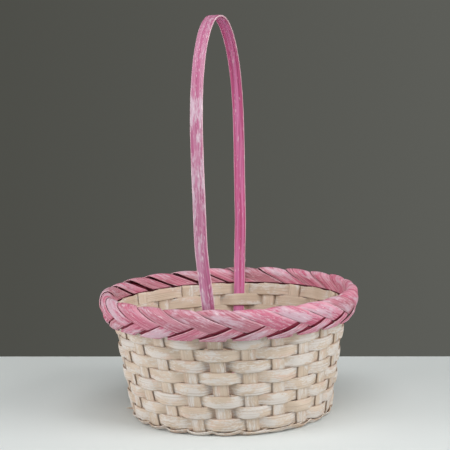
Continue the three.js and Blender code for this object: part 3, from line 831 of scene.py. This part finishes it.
def handle_leg(side):
    """Middle points and directions across of one leg, from its foot to the crown."""
    index = HANDLE_STAKES[1] if side < 0 else HANDLE_STAKES[0]
    z = np.linspace(HANDLE_FOOT, WALL_HEIGHT, 30)
    on_stake = wall_point(stake_angle(index, z), z, np.full_like(z, -LEG_OFFSET))
    across = stake_across(index, z)
    middle = on_stake + across * leg_shift(side, z)[:, None]
    across = across * -side
    span0 = math.hypot(on_stake[-1, 0], on_stake[-1, 1])
    z0 = on_stake[-1, 2]
    lift = (HANDLE_SHOULDER - z0) / 3
    shaft = bezier(((span0, z0), (span0 + lift * WALL_SLOPE, z0 + lift),
                    (HANDLE_HALF_SPAN, HANDLE_SHOULDER - lift), (HANDLE_HALF_SPAN, HANDLE_SHOULDER)),
                   np.linspace(0, 1, 25)[1:])
    turn = np.linspace(0, math.pi / 2, 61)[1:]
    crown = np.stack([HANDLE_HALF_SPAN * np.maximum(0, np.cos(turn)) ** (2 / HANDLE_FULLNESS),
                      HANDLE_SHOULDER + (HANDLE_HEIGHT - HANDLE_SHOULDER)
                      * np.sin(turn) ** (2 / HANDLE_FULLNESS)], -1)
    outline = np.concatenate([shaft, crown])
    span, height = outline[:, 0], outline[:, 1]
    below = ease((height - z0) / (HANDLE_SHOULDER - z0))
    above = ease((height - HANDLE_SHOULDER) / (HANDLE_HEIGHT - HANDLE_SHOULDER))
    yaw = HANDLE_SHOULDER_TWIST * below + (HANDLE_TWIST - HANDLE_SHOULDER_TWIST) * above
    drift = HANDLE_RIM_SHIFT + (HANDLE_SHIFT - HANDLE_RIM_SHIFT) * below
    free = np.stack([drift + side * span * np.sin(yaw), side * span * np.cos(yaw), height], -1)
    free_across = np.stack([np.cos(yaw), -np.sin(yaw), 0 * yaw], -1)
    return np.concatenate([middle, free]), np.concatenate([across, free_across])


def make_handle():
    near, near_across = handle_leg(-1)
    far, far_across = handle_leg(1)
    middle = np.concatenate([near, far[::-1][1:]])
    across = np.concatenate([near_across, far_across[::-1][1:]])
    way = unit(np.gradient(middle, axis=0))
    across = unit(across - way * np.sum(across * way, axis=1, keepdims=True))
    length = np.concatenate([[0], np.cumsum(np.linalg.norm(np.diff(middle, axis=0), axis=1))])
    # bamboo joints stand out a little from the hoop
    knots = np.zeros_like(length)
    for at in KNOTS:
        knots += np.exp(-((length - at) / KNOT_REACH) ** 2)
    width = HANDLE_WIDTH - 0.25 + 0.5 * knots + wobble(length, 61, 240, 0.2)
    grid, along, reach = sweep(middle, across, width, 62, 0.07)
    # the near leg is brushed paler up to its second knot
    paler = ease((length - 175) / 60) * (1 - ease((length - 306) / 4))
    greyer = 1 - ease((length - 110) / 90)
    proud = 0.5 + (0.17 * paler + 0.08 * greyer + 0.2 * knots)[:, None] + 0 * reach
    proud = proud + paler[:, None] * 0.2 * ease((np.abs(ACROSS)[None, :] - 0.35) / 0.6)
    make_strip("hoop_handle", grid, HANDLE_THICKNESS - 0.1 + 0.35 * knots, along, reach, 5.5,
               ["handle"], HOOP, proud, face=-1.0)


# ---------------------------------------------------------------- loose ends

SLIVERS = 26                     # split off the strips of the braid
SLIVER_STATIONS = 9


def make_sliver(name, points, across, width, thickness, tone, slot, proud):
    """A short strip through a few points, tapering to its far end. It stands for no CAD node."""
    points = np.array(points, float)
    t = np.linspace(0, 1, SLIVER_STATIONS)
    at = np.linspace(0, 1, len(points))
    middle = np.stack([np.interp(t, at, points[:, k]) for k in range(3)], -1)
    grid, along, reach = sweep(middle, np.broadcast_to(across, (SLIVER_STATIONS, 3)), width * (1 - 0.7 * t))
    make_strip(name, grid, thickness, along, reach, tone, [], slot, proud, tip=0.3)


def make_loose_ends():
    # the end of a weaver sticks out below the braid on the right
    angle = math.radians(12)
    root = wall_point(angle, 91.0, 1.5)
    line = [root - tangent(angle) * 9, root, root + tangent(angle) * 5 + radial(angle) * 2.6]
    make_sliver("weaver_end", line, wall_up(angle), 8.0, 0.8, 21.5, WALL, 0.6)
    # a fibre stands off the foot of the wall on the left
    angle = math.radians(198)
    root = wall_point(angle, 9.0, 1.6)
    line = [root, root + radial(angle) * 3 + UP * 0.6, root + radial(angle) * 6 + UP * 0.8]
    make_sliver("foot_fibre", line, UP, 1.8, 0.6, 12.2, WALL, 1.0)
    # one end of the binding runs on along the foot, to the front
    angle = np.radians(np.linspace(318, 283, SLIVER_STATIONS))
    radius = np.linspace(98.2, 98.8, SLIVER_STATIONS)[:, None]
    height = np.linspace(3.8, 2.6, SLIVER_STATIONS)[:, None]
    make_sliver("binding_end", radial(angle) * radius + UP * height, radial(angle) * 0.6 + UP * 0.8,
                5.0, 0.9, 26.9, WALL, 1.0)
    # slivers split off the strips of the braid
    rng = np.random.default_rng(33)
    for number in range(SLIVERS):
        along = rng.uniform(0, 2 * math.pi) * RIM_RADIUS
        down = rng.uniform(0.3, 0.92) * RIM_LENGTH
        sign = 1 if down < 0.7 * RIM_LENGTH else -1
        length = rng.uniform(5, 13)
        steps = np.array([0.0, 0.5, 1.0])
        level = 2.0 + steps ** 2 * rng.uniform(0.6, 2.2)
        along_steps = along + steps * length * 0.92
        down_steps = down + sign * steps * length * 0.38
        line = rim_point(along_steps, down_steps, level)
        across = unit(line[1] * np.array([1, 1, 0])) * 0.3 + UP * 0.7
        width = rng.uniform(0.5, 1.0)
        make_sliver(f"rim_sliver_{number + 1:02d}", line, across, width, 0.3, 40 + number, BRAID, 0.95)


# ---------------------------------------------------------------- the basket

for family in range(2):
    for lane in range(LANES):
        make_splint(family, lane)
for row in range(ROWS):
    make_row(row)
for ring in range(BASE_RINGS):
    make_base_ring(ring)
make_binding(1, 0.0)
make_binding(2, math.pi)
make_rim_core()
make_rim_shade_lining()
for index in range(STAKES):
    make_rim_strip(index)
make_handle()
make_loose_ends()

# ---------------------------------------------------------------- floor, light and camera

CAMERA_AZIMUTH = math.radians(7.7)
CAMERA_RISE = math.radians(7.32)
CAMERA_DISTANCE = 1360.5         # in millimetres, as the aim
CAMERA_ROLL = math.radians(-1.73)
CAMERA_AIM = (-1.7, 183.9)       # to the right, and up
CAMERA_LENS = 112.0
SENSOR_WIDTH = 36.0
FLOOR_COLOUR = (0.69, 0.73, 0.73, 1)
FLOOR_ROUGHNESS = 0.85
FLOOR_SPECULAR = 0.2
TABLE_BEHIND = 235.0
TABLE_REACH = 2500.0
LIGHTS = (("left_softbox", (-1.4, -0.6, 0.45), (0, 0, 0.1), (0.9, 1.2), 17.0, (1.0, 0.98, 0.97)),
          ("right_softbox", (1.3, -0.6, 0.85), (0, 0, 0.1), (0.9, 1.2), 17.0, (1.0, 0.99, 0.98)),
          ("top_softbox", (0.1, -0.6, 1.4), (0, -0.35, 0.0), (1.1, 1.0), 12.0, (1.0, 1.0, 1.0)))
BACKDROP_LEFT = (0.076, 0.077, 0.067, 1)
BACKDROP_RIGHT = (0.108, 0.110, 0.098, 1)


def make_floor():
    shader = bpy.data.materials.new("pale_floor")
    shader.use_nodes = True
    surface = shader.node_tree.nodes["Principled BSDF"]
    surface.inputs["Base Color"].default_value = FLOOR_COLOUR
    surface.inputs["Roughness"].default_value = FLOOR_ROUGHNESS
    surface.inputs["Specular IOR Level"].default_value = FLOOR_SPECULAR
    corners = [(-TABLE_REACH, -TABLE_REACH), (TABLE_REACH, -TABLE_REACH),
               (TABLE_REACH, TABLE_BEHIND), (-TABLE_REACH, TABLE_BEHIND)]
    corners = [(x * MM, y * MM, 0.0) for x, y in corners]
    mesh = bpy.data.meshes.new("floor")
    mesh.from_pydata(corners, [], [(0, 1, 2, 3)])
    mesh.materials.append(shader)
    floor = bpy.data.objects.new("floor", mesh)
    bpy.context.scene.collection.objects.link(floor)


def make_light(name, place, aim, size, power, colour):
    data = bpy.data.lights.new(name, "AREA")
    data.shape = "RECTANGLE"
    data.size, data.size_y = size
    data.energy = power
    data.color = colour
    light = bpy.data.objects.new(name, data)
    light.location = place
    light.rotation_mode = "QUATERNION"
    light.rotation_quaternion = (Vector(aim) - Vector(place)).to_track_quat("-Z", "Y")
    bpy.context.scene.collection.objects.link(light)


def make_world():
    world = bpy.data.worlds.new("backdrop")
    world.use_nodes = True
    nodes, links = world.node_tree.nodes, world.node_tree.links
    place = nodes.new("ShaderNodeTexCoord")
    parts = nodes.new("ShaderNodeSeparateXYZ")
    links.new(place.outputs["Generated"], parts.inputs[0])
    side = nodes.new("ShaderNodeMapRange")
    for socket, number in zip(side.inputs[1:5], (-0.28, 0.02, 0.0, 1.0)):
        socket.default_value = number
    links.new(parts.outputs[0], side.inputs[0])
    grey = nodes.new("ShaderNodeMix")
    grey.data_type = "RGBA"
    grey.inputs[6].default_value = BACKDROP_LEFT
    grey.inputs[7].default_value = BACKDROP_RIGHT
    links.new(side.outputs[0], grey.inputs[0])
    links.new(grey.outputs[2], nodes["Background"].inputs[0])
    bpy.context.scene.world = world


def make_camera():
    a, e = CAMERA_AZIMUTH, CAMERA_RISE
    back = Vector((math.sin(a) * math.cos(e), -math.cos(a) * math.cos(e), math.sin(e)))
    level_right = Vector((math.cos(a), math.sin(a), 0))
    level_up = back.cross(level_right)
    aim = level_right * CAMERA_AIM[0] + Vector((0, 0, CAMERA_AIM[1]))
    right = level_right * math.cos(CAMERA_ROLL) + level_up * math.sin(CAMERA_ROLL)
    upward = -level_right * math.sin(CAMERA_ROLL) + level_up * math.cos(CAMERA_ROLL)
    data = bpy.data.cameras.new("camera")
    data.lens = CAMERA_LENS
    data.sensor_width = SENSOR_WIDTH
    data.clip_start, data.clip_end = 0.05, 20
    camera = bpy.data.objects.new("camera", data)
    place = (aim + back * CAMERA_DISTANCE) * MM
    camera.matrix_world = Matrix.Translation(place) @ Matrix((right, upward, back)).transposed().to_4x4()
    bpy.context.scene.collection.objects.link(camera)
    bpy.context.scene.camera = camera


make_floor()
make_world()
for light in LIGHTS:
    make_light(*light)
make_camera()
bpy.context.scene.view_settings.view_transform = "Standard"
